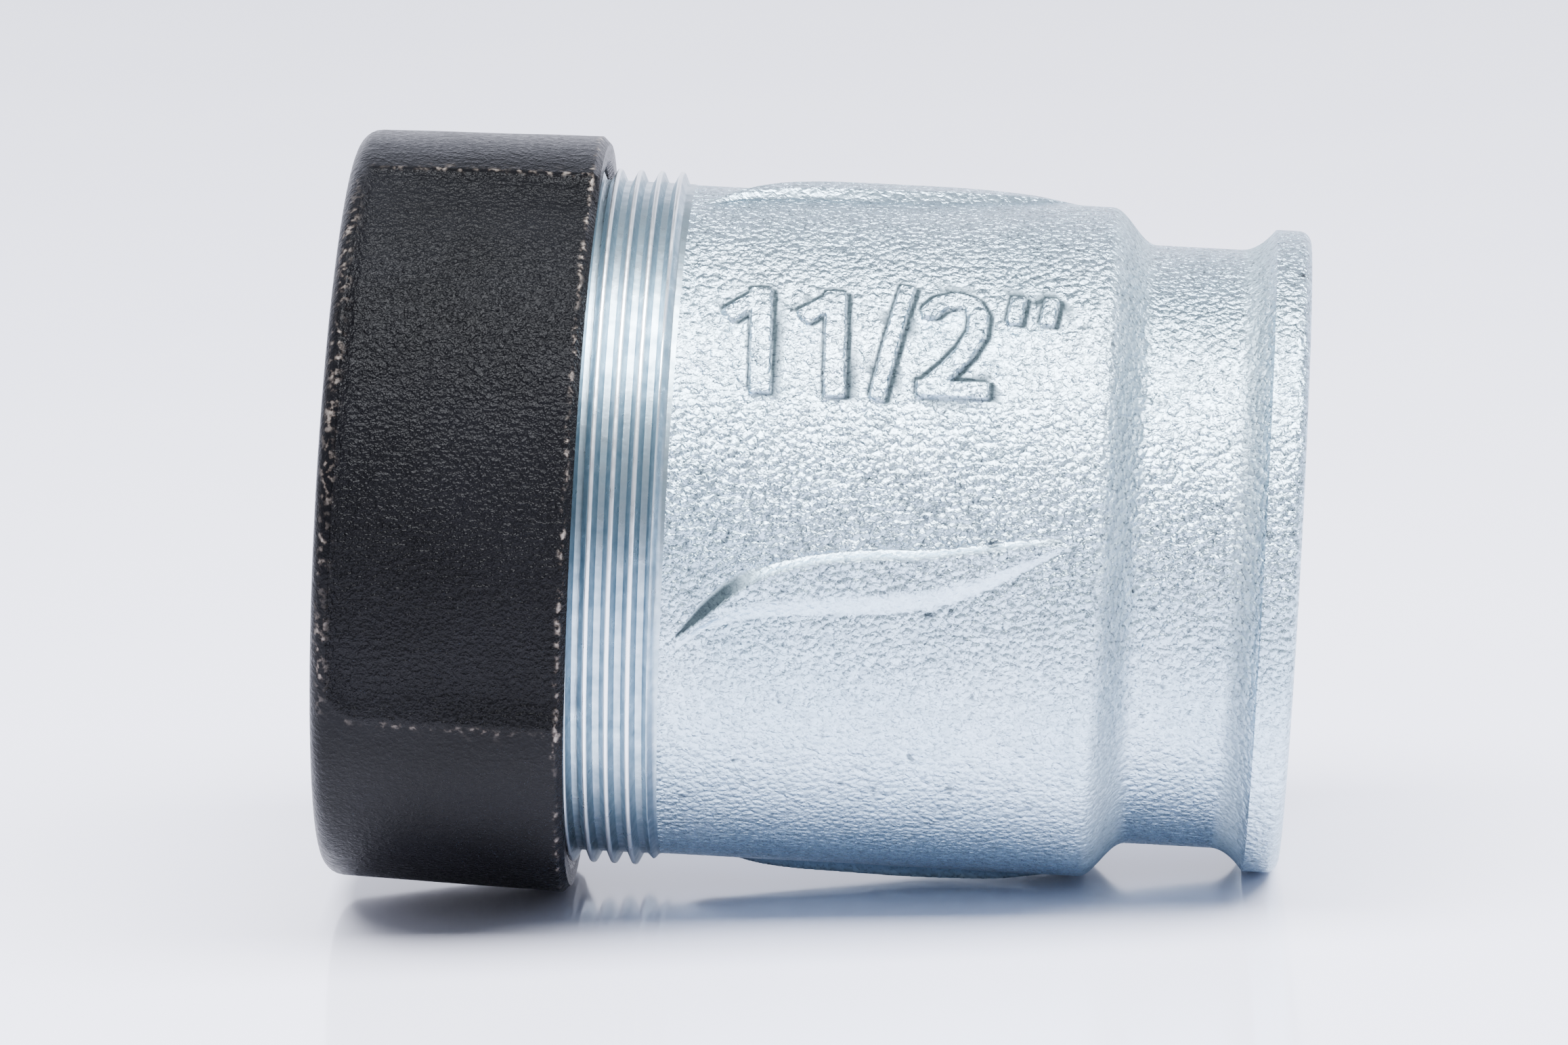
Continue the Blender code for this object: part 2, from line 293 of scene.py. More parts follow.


# %% [markdown]
# ### Black iron
# The nut is a sand casting as well, blacked and oiled. Its grain is softer than the body's, like
# orange peel with a little sand in it. Bare metal and rust show where the black has been knocked
# off, in small groups of specks along the edges that the mesh marks. The specks are also a painted
# highlight: they sit where the edges and the rim round the closed end catch the light.


# %% Black iron
def black_iron():
    made, tree, shader = new_material("cast_black", Specular_IOR_Level=0.075)
    place = in_mm(tree)
    coarse = carried(tree, "coarse")
    peel = noise_field(tree, place, 0.70, detail=2.5, rough=0.6)
    waves = noise_field(tree, place, 5.0, detail=2.0)
    clouds = noise_field(tree, place, 11.0, detail=4.0)
    flecks = noise_field(tree, place, 0.8, detail=2.0)
    black = ramp(tree, clouds, (0.3, (0.002, 0.002, 0.0025)), (0.7, (0.004, 0.004, 0.005)))
    rust = ramp(tree, flecks, (0.50, (0.04, 0.027, 0.02)), (0.68, (0.36, 0.31, 0.27)))
    spotted = ramp(tree, flecks, (0.48, 0.0), (0.62, 1.0))
    grouped = ramp(tree, noise_field(tree, place, 3.5), (0.42, 0.15), (0.60, 1.0))
    spotted = math_node(tree, "MULTIPLY", spotted, grouped)
    # Wear and painted highlight: rust-coloured, part-metallic specks along the marked edges, which also
    # stand in for the edges' glints.
    worn_and_glinting = math_node(tree, "MULTIPLY", carried(tree, "mark"), spotted)
    tree.links.new(mixed(tree, worn_and_glinting, black, rust), shader.inputs["Base Color"])
    tree.links.new(math_node(tree, "MULTIPLY", worn_and_glinting, 0.6), shader.inputs["Metallic"])
    dull = ramp(tree, peel, (0.3, 0.40), (0.7, 0.22))
    tree.links.new(dull, shader.inputs["Roughness"])
    normal = bumped(tree, shader, waves, 0.12)
    peeled = math_node(tree, "MULTIPLY", peel, coarse)
    normal = bumped(tree, shader, peeled, 0.45, normal)
    sand = noise_field(tree, place, 0.35, detail=1.0)
    bumped(tree, shader, math_node(tree, "MULTIPLY", sand, coarse), 0.10, normal)
    return made


# %% [markdown]
# ### Rings and seal
# The clamping ring is turned steel with a yellow passivated plating, the pressure ring is a pressed
# washer with bright zinc, and the seal is moulded rubber with a matt skin and a little bloom.


# %% Rings and seal
def turned_steel(name, low, high, rough):
    made, tree, shader = new_material(name, Metallic=1.0)
    marks = noise_field(tree, in_mm(tree, (8, 0.4, 0.4)), 1.0, detail=3.0)
    blots = noise_field(tree, in_mm(tree), 4.0, detail=3.0)
    tree.links.new(ramp(tree, blots, (0.3, low), (0.7, high)), shader.inputs["Base Color"])
    dull = ramp(tree, marks, (0.3, rough), (0.7, rough + 0.12))
    tree.links.new(dull, shader.inputs["Roughness"])
    bumped(tree, shader, marks, 0.02)
    return made


def rubber():
    made, tree, shader = new_material("seal_rubber_skin")
    place = in_mm(tree)
    bloom = noise_field(tree, place, 6.0, detail=4.0)
    skin = noise_field(tree, place, 0.25, detail=2.0)
    colour = ramp(tree, bloom, (0.35, (0.014, 0.014, 0.015)), (0.75, (0.032, 0.032, 0.034)))
    tree.links.new(colour, shader.inputs["Base Color"])
    dull = ramp(tree, bloom, (0.3, 0.55), (0.7, 0.72))
    tree.links.new(dull, shader.inputs["Roughness"])
    bumped(tree, shader, skin, 0.03)
    return made


CAST_ZINC = cast_zinc()
THREADED_ZINC = threaded_zinc()
BLACK_IRON = black_iron()
YELLOW_STEEL = turned_steel("yellow_steel", (0.42, 0.34, 0.17), (0.56, 0.47, 0.27), 0.28)
WASHER_STEEL = turned_steel("bright_washer", (0.52, 0.53, 0.54), (0.64, 0.65, 0.66), 0.25)
RUBBER = rubber()
print(len(bpy.data.materials), "materials")

# %% [markdown]
# ## Building round an axis
# Nearly every surface here goes round the X axis, but none of them is a plain turned shape: threads
# climb as they go round, and the castings carry ribs, figures and panels. The Screw modifier makes
# plain turned shapes only. A sheet of points, one column for each angle, takes any height at any
# point. Points that fall on one another are shared, which closes each column onto the next and lets
# a thread fade out at its ends.

# %% Points, sheets and meshes
COLUMNS = 180
POINT_GRID = 5e-8


def on_axis(station, radius, angle):
    """A point by its distance from the nut's outer face, its radius, and its angle above the front."""
    return Vector(
        (nut_box[0].x + station, -radius * math.cos(angle), radius * math.sin(angle))
    )


class Shell:
    """Points and faces of one piece, with a finish number for each face.

    Each point also carries a mark and a coarseness from 0 to 1, which its material reads.
    Places that are closer than POINT_GRID share one point.
    """

    def __init__(self):
        self.points = []
        self.marks = []
        self.coarse = []
        self.index = {}
        self.faces = []
        self.finishes = []

    def point(self, place, mark=0.0, coarse=1.0):
        key = tuple(round(value / POINT_GRID) for value in place)
        if key not in self.index:
            self.index[key] = len(self.points)
            self.points.append(place)
            self.marks.append(mark)
            self.coarse.append(coarse)
        return self.index[key]

    def face(self, corners, finish):
        corners = list(dict.fromkeys(corners))
        if len(corners) > 2:
            self.faces.append(corners)
            self.finishes.append(finish)

    def sheet(self, outline, finish=0, columns=COLUMNS):
        """Skins an open outline round the axis.

        outline(angle) gives (station, radius) points, with a mark and a coarseness where they matter.
        """
        rows = []
        for number in range(columns + 1):
            angle = TURN * number / columns
            row = []
            for station, radius, *look in outline(angle):
                row.append(self.point(on_axis(station, radius, angle), *look))
            rows.append(row)
        for left, right in zip(rows, rows[1:]):
            for row in range(len(left) - 1):
                corners = (left[row], left[row + 1], right[row + 1], right[row])
                self.face(corners, finish)

    def fine_sheet(self, stations, surface, busy, parts, finish=0):
        """Skins a surface with each busy cell cut into parts x parts smaller ones.

        surface(station, angle) gives the radius, the mark and the coarseness there.
        """
        count = len(stations) - 1
        fine = {
            (row, column): busy(stations[row], stations[row + 1], column)
            for row in range(count)
            for column in range(COLUMNS)
        }

        def corner(row, column):
            whole = min(int(row // parts), count - 1)
            share = row / parts - whole
            station = stations[whole] + (stations[whole + 1] - stations[whole]) * share
            angle = TURN * (column % (COLUMNS * parts)) / (COLUMNS * parts)
            radius, *look = surface(station, angle)
            return self.point(on_axis(station, radius, angle), *look)

        def is_fine(row, column):
            return fine.get((row, column % COLUMNS), False)

        for row in range(count):
            for column in range(COLUMNS):
                top, left = row * parts, column * parts
                if fine[row, column]:
                    for r in range(top, top + parts):
                        for c in range(left, left + parts):
                            ring = ((r, c), (r + 1, c), (r + 1, c + 1), (r, c + 1))
                            self.face([corner(*place) for place in ring], finish)
                    continue
                ring = []
                steps = range(parts)
                down = [(top + step, left) for step in steps]
                across = [(top + parts, left + step) for step in steps]
                up = [(top + parts - step, left + parts) for step in steps]
                back = [(top, left + parts - step) for step in steps]
                sides = (
                    (down, is_fine(row, column - 1)),
                    (across, is_fine(row + 1, column)),
                    (up, is_fine(row, column + 1)),
                    (back, is_fine(row - 1, column)),
                )
                for side, cut in sides:
                    ring += side if cut else side[:1]
                self.face([corner(*place) for place in ring], finish)

    def build(self, name, finishes, sharp=40):
        """The finished object, with its faces turned outwards."""
        mesh = bpy.data.meshes.new(name)
        mesh.from_pydata(self.points, [], self.faces)
        for finish in finishes:
            mesh.materials.append(finish)
        mesh.polygons.foreach_set("material_index", self.finishes)
        tidy = bmesh.new()
        tidy.from_mesh(mesh)
        bmesh.ops.recalc_face_normals(tidy, faces=tidy.faces)
        tidy.to_mesh(mesh)
        tidy.free()
        mesh.shade_smooth()
        mesh.set_sharp_from_angle(angle=math.radians(sharp))
        for label, values in (("mark", self.marks), ("coarse", self.coarse)):
            mesh.attributes.new(label, "FLOAT", "POINT").data.foreach_set("value", values)
        made = bpy.data.objects.new(name, mesh)
        bpy.context.collection.objects.link(made)
        triangles = sum(len(face.vertices) - 2 for face in mesh.polygons)
        print(f"{name}: {triangles} triangles")
        return made


def eased(share):
    """0 to 1 with a soft start and end."""
    share = min(1, max(0, share))
    return share * share * (3 - 2 * share)


def curve_through(table, at):
    """A smooth curve through (place, value) pairs."""
    last = len(table) - 1
    number = 0
    while number < last - 1 and at > table[number + 1][0]:
        number += 1
    near = [table[min(max(number + step, 0), last)] for step in (-1, 0, 1, 2)]
    width = near[2][0] - near[1][0]
    share = min(1, max(0, (at - near[1][0]) / width))
    start = (near[2][1] - near[0][1]) / max(near[2][0] - near[0][0], MM) * width
    end = (near[3][1] - near[1][1]) / max(near[3][0] - near[1][0], MM) * width
    square, cube = share**2, share**3
    return (
        near[1][1] * (2 * cube - 3 * square + 1)
        + near[2][1] * (3 * square - 2 * cube)
        + start * (cube - 2 * square + share)
        + end * (cube - square)
    )


def arc(centre, radius, start, end, steps):
    """(station, radius) points of an arc, with its angles in degrees from +X."""
    points = []
    for step in range(steps + 1):
        angle = math.radians(start + (end - start) * step / steps)
        points.append((centre[0] + radius * math.cos(angle), centre[1] + radius * math.sin(angle)))
    return points


# %% [markdown]
# ## The union thread
# The thread that the nut runs on is 77 mm over its crests with eleven turns to the inch, the same
# pitch that pipe threads of this size have. It is modelled as real ridges and not as a bump map,
# because four turns stand clear of the nut and catch the light. Twelve points across each turn
# round the crest and the root a little, as a worn die does.

# %% Thread shape
PITCH = 25.4 / 11 * MM
THREAD_SECTION = (
    (-0.93, 0), (-0.80, 0.03), (-0.70, 0.16), (-0.28, 0.84), (-0.19, 0.96), (-0.07, 1),
    (0.07, 1), (0.19, 0.96), (0.28, 0.84), (0.70, 0.16), (0.80, 0.03), (0.93, 0),
)


def thread(angle, start, end, crest, root, ridge, fade, section=THREAD_SECTION):
    """(station, radius, height share) points along a right-hand thread, faded out at both ends.

    ridge is the station of a crest at angle 0. The helix runs towards +X as it goes down the front.
    """
    first = start + (ridge - start) % PITCH
    points = []
    for turn in range(-1, math.ceil((end - start) / PITCH) + 2):
        middle = first + PITCH * (turn - angle / TURN)
        for offset, share in section:
            station = min(max(middle + offset * MM, start), end)
            height = share * min(1, (station - start) / fade, (end - station) / fade)
            points.append((station, root + (crest - root) * height, height))
    return points


# %% Union thread on the body
BODY_START = body_box[0].x - nut_box[0].x
THREAD_START = 15.3 * MM
THREAD_END = 37.1 * MM
CREST_R = 38.55 * MM
ROOT_R = 37.25 * MM
RIDGE = 36.35 * MM
BARREL_R = 37.15 * MM
BARREL_START = 37.4 * MM


def union_thread(angle):
    ridges = thread(angle, THREAD_START, THREAD_END, CREST_R, ROOT_R, RIDGE, 1.1 * MM)
    return [(BODY_START, ROOT_R - MM), *ridges, (BARREL_START, BARREL_R)]


body = Shell()
body.sheet(union_thread, finish=1)
print(f"thread on {(THREAD_END - THREAD_START) / PITCH:.1f} turns")

# %% [markdown]
# ## Ribs and figures
# Four slanted leaves stand on the barrel, a quarter turn apart, so that a hand or a strap wrench
# can hold the body. Each has a crisp upper edge, a flat top and a long soft slope underneath. Above
# the front one stands the pipe size that the coupling is made for. Both are heights added to the
# barrel, so they blend into it as they do on a casting.

# %% Leaf-shaped ribs
RIB_STATIONS = (39, 42, 45, 48, 52, 56, 60, 65, 70, 75, 80)
RIB_LINES = {
    "lower foot": (-11.6, -7.4, -5.8, -4.8, -4.1, -3.7, -3.3, -2.2, 0.1, 4.3, 8.7),
    "ledge": (-9.6, -5.6, -2.8, -1.3, -0.3, 0.5, 1.2, 2.2, 4.1, 7.0, 10.2),
    "crest": (-8.7, -4.6, -0.4, 2.7, 4.9, 6.1, 6.8, 7.3, 8.5, 9.9, 11.2),
    "upper foot": (-8.2, -1.6, 2.6, 4.5, 6.4, 7.6, 8.3, 8.7, 9.6, 11.0, 12.0),
    "height": (0.0, 0.65, 1.0, 1.2, 1.3, 1.3, 1.3, 1.3, 1.15, 0.8, 0.0),
}
RIB_COUNT = 4
RIB_REACH = (-12, 12.5)
LEDGE_SHARE = 0.80
CREST_LINE = 0.3
TAIL_START = 44
TAIL_LENGTH = 6


def rib_line(name, station):
    table = [(at * MM, value) for at, value in zip(RIB_STATIONS, RIB_LINES[name])]
    return curve_through(table, station)


def rib_surface(station, angle):
    """How far the nearest rib stands above the barrel, its dark mark, and how coarse it is.

    Its mark is painted shade: a thin dark line along the crest, and a darkened upper flank that is
    darkest near the tail.
    """
    plain = (0, 0, 1)
    if not RIB_STATIONS[0] * MM < station < RIB_STATIONS[-1] * MM:
        return plain
    spacing = 360 / RIB_COUNT
    degrees = (math.degrees(angle) + spacing / 2) % spacing - spacing / 2
    if not RIB_REACH[0] < degrees < RIB_REACH[1]:
        return plain
    low, ledge, crest, high, height = [rib_line(name, station) for name in RIB_LINES]
    if not low < degrees < high:
        return plain
    if degrees < ledge:
        share = (degrees - low) / (ledge - low)
        return LEDGE_SHARE * eased(share) * height * MM, 0, 1 - 0.6 * eased(4 * share * (1 - share))
    # Painted shade: a thin dark line on the crest and a darker upper flank, strongest at the tail.
    line = 0.55 * math.exp(-(((degrees - crest) / CREST_LINE) ** 2))
    if degrees < crest:
        share = (degrees - ledge) / (crest - ledge)
        return (LEDGE_SHARE + (1 - LEDGE_SHARE) * share) * height * MM, line, 1
    share = (high - degrees) / (high - crest)
    tail = 1 - eased((station / MM - TAIL_START) / TAIL_LENGTH)
    tail *= eased(3 * share * (1.3 - share))
    return share**1.7 * height * MM, max(tail, line, 0.08), 0.6


# %% Size figures
FIGURE_HEIGHT = 0.55 * MM
FIGURE_EDGE = 0.42 * MM
FIGURE_CORNER = 0.45
# Painted shade: the figures are shifted by these offsets to set a dark band along their right-hand and
# upper sides.
SHADOW_SIDES = (Vector((0.5, 0.0)), Vector((-0.15, 0.5)))
SHADOW_REACH = (-0.9, 0.4)
FIGURE_STROKES = (
    (1.25, ((43.4, 48.9), (46.0, 52.4))),
    (1.35, ((46.1, 52.6), (46.66, 35.2))),
    (1.25, ((51.4, 49.3), (54.0, 52.5))),
    (1.35, ((54.15, 52.6), (54.65, 35.2))),
    (1.05, ((61.7, 55.2), (59.35, 34.6))),
    (1.25, (
        (64.5, 51.2), (65.3, 52.8), (67.1, 53.9), (68.8, 53.1), (69.65, 50.5), (69.5, 46.8),
        (68.4, 43.1), (66.8, 39.7), (64.7, 36.2),
    )),
    (1.2, ((64.4, 35.8), (70.2, 36.0))),
    (1.0, ((73.8, 54.1), (73.5, 50.4))),
    (1.0, ((77.4, 54.1), (77.1, 50.4))),
)
FIGURE_BOX = (41.5, 79.5, 31.5, 58.0)


def to_flat(station, degrees):
    """Unrolls a place on the barrel to flat millimetres."""
    return Vector((station, math.radians(degrees) * BARREL_R / MM))


def figure_segments():
    segments = []
    for half, places in FIGURE_STROKES:
        flat = [to_flat(*place) for place in places]
        square = len(flat) == 2
        segments += [(start, end, half, square) for start, end in zip(flat, flat[1:])]
    return segments


SEGMENTS = figure_segments()
print(len(SEGMENTS), "strokes in the size figures")


def figure_inside(place):
    """How far inside the nearest stroke a flat place is, in millimetres. Straight strokes end square."""
    inside = -9
    for start, end, half, square in SEGMENTS:
        length = (end - start).length
        unit = (end - start) / length
        offset = place - (start + end) / 2
        beyond = abs(offset.dot(unit)) - length / 2
        beside = abs(offset.cross(unit))
        if not square:
            inside = max(inside, half - math.hypot(max(0, beyond), beside))
            continue
        beyond += FIGURE_CORNER - half
        beside += FIGURE_CORNER - half
        outside = math.hypot(max(0, beyond), max(0, beside)) + min(0, max(beyond, beside))
        inside = max(inside, FIGURE_CORNER - outside)
    return inside


def figure_surface(station, angle):
    """Height share of the figures, and a painted shade in a band along their upper and right-hand sides.
    """
    degrees = math.degrees(angle)
    left, right, low, high = FIGURE_BOX
    if not (left < station / MM < right and low < degrees < high):
        return 0, 0
    place = to_flat(station / MM, degrees)
    inside = figure_inside(place)
    if not SHADOW_REACH[0] < inside < SHADOW_REACH[1]:
        return eased(inside * MM / FIGURE_EDGE), 0
    # Painted shade: darkens a band of the barrel along each figure's right-hand and upper side.
    shadow_side = max(figure_inside(place - side) for side in SHADOW_SIDES)
    dull = eased((shadow_side + 0.15) / 0.3) * (1 - eased((inside - 0.05) / 0.25))
    return eased(inside * MM / FIGURE_EDGE), dull


# %% [markdown]
# ## Barrel, shoulder and neck
# The casting is never quite round or straight, so a slow noise moves its skin by a few hundredths
# of a millimetre. An even mesh fine enough for the figures would be far too heavy. Only the cells
# that carry an edge are cut up, and their plain neighbours take the extra points into their rims.
# The neck and the bead are a plain outline again, which starts where the barrel ends.

# %% Barrel with its ribs and figures
SHOULDER_START = 83.5 * MM
BARREL_CELLS = 39
BARREL_PARTS = 6
WAVER = 0.05 * MM
WAVER_FADE = 3 * MM
EDGE_HEIGHT = 0.02 * MM


def grain_share(angle):
    """The lower half of the mould was packed with finer sand and left a smoother skin."""
    return 0.65 + 0.35 * eased((math.sin(angle) + 0.55) / 0.5)


def casting_waver(station, angle):
    """Slow unevenness of the cast skin, nothing at the barrel's two ends."""
    place = on_axis(station, BARREL_R, angle) / (9 * MM)
    from_end = min(station - BARREL_START, SHOULDER_START - station)
    return WAVER * noise.noise(place) * min(1, max(0, from_end / WAVER_FADE))


def barrel_surface(station, angle):
    rib, shade, coarse = rib_surface(station, angle)
    share, dull = figure_surface(station, angle)
    radius = BARREL_R + rib + FIGURE_HEIGHT * share + casting_waver(station, angle)
    return radius, max(shade, dull), coarse * grain_share(angle)


def barrel_busy(start, end, column):
    """Whether a rib or a figure has an edge in this cell."""
    heights = []
    for step in range(5):
        station = start + (end - start) * step / 4
        for part in range(5):
            angle = TURN * (column + part / 4) / COLUMNS
            raised = FIGURE_HEIGHT * figure_surface(station, angle)[0]
            heights.append(rib_surface(station, angle)[0] + raised)
    return max(heights) - min(heights) > EDGE_HEIGHT


barrel_stations = [
    BARREL_START + (SHOULDER_START - BARREL_START) * step / BARREL_CELLS
    for step in range(BARREL_CELLS + 1)
]
body.fine_sheet(barrel_stations, barrel_surface, barrel_busy, BARREL_PARTS)
print(len(body.faces), "faces on thread and barrel")

# %% Shoulder, neck and bead
NECK_START = 88.6 * MM
NECK_END = 98.0 * MM
NECK_R = 33.2 * MM
BEAD_START = 101.7 * MM
BEAD_R = 35.6 * MM
BEAD_ROUND = 1.4 * MM
END_R = 24.3 * MM
# Painted shade in the neck's two hollows, at most this strong.
HOLLOW_SHADE = 0.42


def neck(angle):
    """From the barrel's shoulder over the neck and the bead to the rim of the open end's face.

    The two hollows carry a mark of painted shade, which darkens the zinc there and makes it matt.
    """
    coarse = grain_share(angle)
    points = []
    for step in range(13):
        share = step / 12
        drop = (BARREL_R - NECK_R) * (1 - math.cos(math.pi * share)) / 2
        station = SHOULDER_START + (NECK_START - SHOULDER_START) * share
        points.append((station, BARREL_R - drop, HOLLOW_SHADE * math.sin(math.pi * share), coarse))
    for step in range(9):
        share = step / 8
        rise = (BEAD_R - NECK_R) * share**2
        station = NECK_END + (BEAD_START - NECK_END) * share
        points.append((station, NECK_R + rise, HOLLOW_SHADE * math.sin(math.pi * share), coarse))
    corner = (LENGTH - BEAD_ROUND, BEAD_R - BEAD_ROUND)
    points += [(*place, 0, coarse) for place in arc(corner, BEAD_ROUND, 90, 0, 8)]
    return points


body.sheet(neck)

# %% [markdown]
# ## Inside the body
# The far end takes a male pipe thread, so it is tapped: ridges 44.9 mm over their crests in a bore
# that starts with a small countersink. Behind it the casting is cored hollow, and at the near end
# a cone waits for the seal. All of this can be seen through the open ends.

# %% Bore, pipe thread and seat
TAPPED_START = 84.0 * MM
PIPE_ROOT_R = 23.88 * MM
PIPE_CREST_R = 22.45 * MM


def pipe_thread(angle):
    ridges = thread(
        angle, TAPPED_START + 0.3 * MM, LENGTH - 0.3 * MM, PIPE_CREST_R, PIPE_ROOT_R,
        LENGTH - 1.2 * MM, 1.3 * MM,
    )
    return [(TAPPED_START, END_R), *ridges, (LENGTH, END_R), (LENGTH, BEAD_R - BEAD_ROUND)]


def body_inside(_angle):
    return [
        (TAPPED_START, END_R),
        (82.4 * MM, END_R),
        (82.1 * MM, END_R + 0.5 * MM),
        (78.6 * MM, 31.3 * MM),
        (78.0 * MM, 31.8 * MM),
        (41.5 * MM, 31.8 * MM),
        (40.9 * MM, 31.3 * MM),
        (37.9 * MM, 25.8 * MM),
        (37.4 * MM, 25.3 * MM),
        (34.2 * MM, 25.3 * MM),
        (33.6 * MM, 25.9 * MM),
        (33.6 * MM, 28.5 * MM),
        (29.5 * MM, 32.6 * MM),
        (BODY_START + MM, 32.6 * MM),
        (BODY_START, 33.6 * MM),
        (BODY_START, ROOT_R - MM),
    ]


body.sheet(pipe_thread, finish=1)
body.sheet(body_inside)
coupling_body = body.build("coupling_body", (CAST_ZINC, THREADED_ZINC))
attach(coupling_body, "fitting")
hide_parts("fitting_body")

# %% [markdown]
# ## The union nut
# The nut is a cast cup with a thread inside and a hole for the pipe in its end wall. Two shallow
# panels are sunk into the outside and run out at the open end. They leave two smooth lands for a
# pipe wrench and a rim round the closed end. Booleans could cut the panels, but their soft ramps
# and crisp edges are easier to state as a depth below a plain turned outside.

# %% Outside of the nut
NUT_LENGTH = nut_box[1].x - nut_box[0].x
NUT_FACE_R = 41.5 * MM
NUT_OPEN_R = 42.05 * MM
NUT_SHOULDER = 2.3 * MM
NUT_CHAMFER = 0.8 * MM
PANEL_R = 40.75 * MM
PANEL_MIDDLE = 24.9
PANEL_HALF = 48.7
PANEL_LEFT = 1.65 * MM
LEFT_RAMP = 1.65 * MM
PANEL_CORNER = 4.0 * MM
LOWER_RAMP = 4.3 * MM
CRISP_FOOT = 0.9 * MM
SOFT_FOOT = 5 * MM


def nut_plain(station):
    """Radius of the nut's outside without its panels and its chamfer."""
    if station < NUT_SHOULDER:
        below = NUT_SHOULDER - station
        return NUT_FACE_R - NUT_SHOULDER + math.sqrt(max(0, NUT_SHOULDER**2 - below**2))
    share = (station - NUT_SHOULDER) / (NUT_LENGTH - NUT_SHOULDER)
    return NUT_FACE_R + (NUT_OPEN_R - NUT_FACE_R) * share


def from_panel(angle):
    """Degrees above the middle of the nearer panel."""
    return (math.degrees(angle) - PANEL_MIDDLE + 90) % 180 - 90


def panel_edges(angle):
    """How far the nearer panel's upper and lower edges are, along the skin and inwards."""
    off = from_panel(angle)
    return [math.radians(PANEL_HALF + away) * NUT_FACE_R for away in (-off, off)]


def panel_share(station, angle):
    """1 on the floor of a panel, 0 on the plain outside.

    The upper edge is crisp, with a soft foot. The lower one is a wide ramp with a rounded corner.
    """
    upper, lower = panel_edges(angle)
    left = station - PANEL_LEFT
    if min(upper, lower, left) <= 0:
        return 0
    crisp = 1 - math.exp(-upper / CRISP_FOOT)
    crisp *= 0.75 + 0.25 * eased(upper / SOFT_FOOT)
    if lower < PANEL_CORNER and left < PANEL_CORNER:
        down, across = PANEL_CORNER - lower, PANEL_CORNER - left
        inside = PANEL_CORNER - math.hypot(down, across)
        width = LEFT_RAMP + (LOWER_RAMP - LEFT_RAMP) * down / (down + across)
        soft = eased(inside / width)
    else:
        soft = eased(min(lower / LOWER_RAMP, left / LEFT_RAMP))
    return crisp * soft


def nut_waver(station, angle):
    """Slow unevenness of the nut's skin, nothing at its two ends."""
    place = on_axis(station, NUT_FACE_R, angle) / (8 * MM)
    from_end = min(station, NUT_LENGTH - station)
    return 0.06 * MM * noise.noise(place) * min(1, max(0, from_end / WAVER_FADE))


# %% Wear, painted glints and roughness of the nut
WEAR_AND_GLINT_WIDTH = 0.22 * MM
RIM_WIDTH = 0.6 * MM
RIPPLE_PLACE = 2.2 * MM
RIPPLE_WIDTH = 0.8 * MM
RIPPLE_HEIGHT = 0.16 * MM


def closeness(distance, width):
    """1 at no distance, fading to 0 over about this width."""
    return math.exp(-((distance / width) ** 2))


def nut_wear_and_glints(station, angle):
    """Wear spots along the open edge and round the edges of each panel, also a painted highlight where
    these edges catch the light.
    """
    upper, lower = panel_edges(angle)
    wander = 0.25 * MM * noise.noise(on_axis(0, NUT_FACE_R, angle) / (2 * MM))
    along = noise.noise(on_axis(station, 0, 0) / (1.1 * MM))
    open_edge = closeness(station - NUT_LENGTH + NUT_CHAMFER - wander, WEAR_AND_GLINT_WIDTH)
    ridge = closeness(upper + 0.15 * MM * along, WEAR_AND_GLINT_WIDTH) if station > PANEL_LEFT else 0
    foot = closeness(lower + 0.3 * MM * (along - 1), WEAR_AND_GLINT_WIDTH) if station > PANEL_CORNER else 0
    rim = closeness(station - PANEL_LEFT + 0.4 * MM, RIM_WIDTH) * eased(5 - abs(from_panel(angle)) / 10)
    # Partly wear and partly painted highlight: the specks sit where the edges catch the light.
    return max(0.72 * open_edge, 0.40 * ridge, 0.55 * rim, 0.45 * foot)


def sand_ripple(station, angle, share):
    """A rough swell that the mould left along the foot of each panel's crisp edge."""
    upper, _lower = panel_edges(angle)
    rough = noise.noise(on_axis(station, NUT_FACE_R, angle) / (0.7 * MM))
    return RIPPLE_HEIGHT * (1 + rough) * share * closeness(upper - RIPPLE_PLACE, RIPPLE_WIDTH)


def nut_surface(station, angle):
    """Radius, wear and coarseness. The lands were rubbed on the mould and are smoother."""
    land = nut_plain(station)
    share = panel_share(station, angle)
    chamfer = max(0, station - NUT_LENGTH + NUT_CHAMFER)
    radius = land - (land - PANEL_R) * share - chamfer + nut_waver(station, angle)
    radius += sand_ripple(station, angle, share)
    return radius, nut_wear_and_glints(station, angle), 0.25 + 0.75 * min(1, 8 * share)


# %% Skin of the nut
NUT_PARTS = 5
FACE_ROWS = (0.0, 0.06, 0.2, 0.4, 0.7, 1.1, 1.6, 2.3)
SIDE_ROWS = 21
SIDE_END = 25.8
OPEN_ROWS = (26.5, 27.2)


def nut_busy(start, end, column):
    """Whether an edge of a panel or the worn open edge crosses this cell."""
    if end > NUT_LENGTH - NUT_CHAMFER - 0.8 * MM:
        return end < NUT_LENGTH - 0.1 * MM
    shares = []
    for step in range(4):
        for part in range(4):
            angle = TURN * (column + part / 3) / COLUMNS
            shares.append(panel_share(start + (end - start) * step / 3, angle))
    return max(shares) - min(shares) > 0.03


side_step = (SIDE_END - FACE_ROWS[-1]) / SIDE_ROWS
side_rows = [FACE_ROWS[-1] + side_step * (step + 1) for step in range(SIDE_ROWS)]
nut_stations = [row * MM for row in (*FACE_ROWS, *side_rows, *OPEN_ROWS)]
nut_stations.append(NUT_LENGTH)
nut = Shell()
nut.fine_sheet(nut_stations, nut_surface, nut_busy, NUT_PARTS)
print(len(nut.faces), "faces outside the nut")

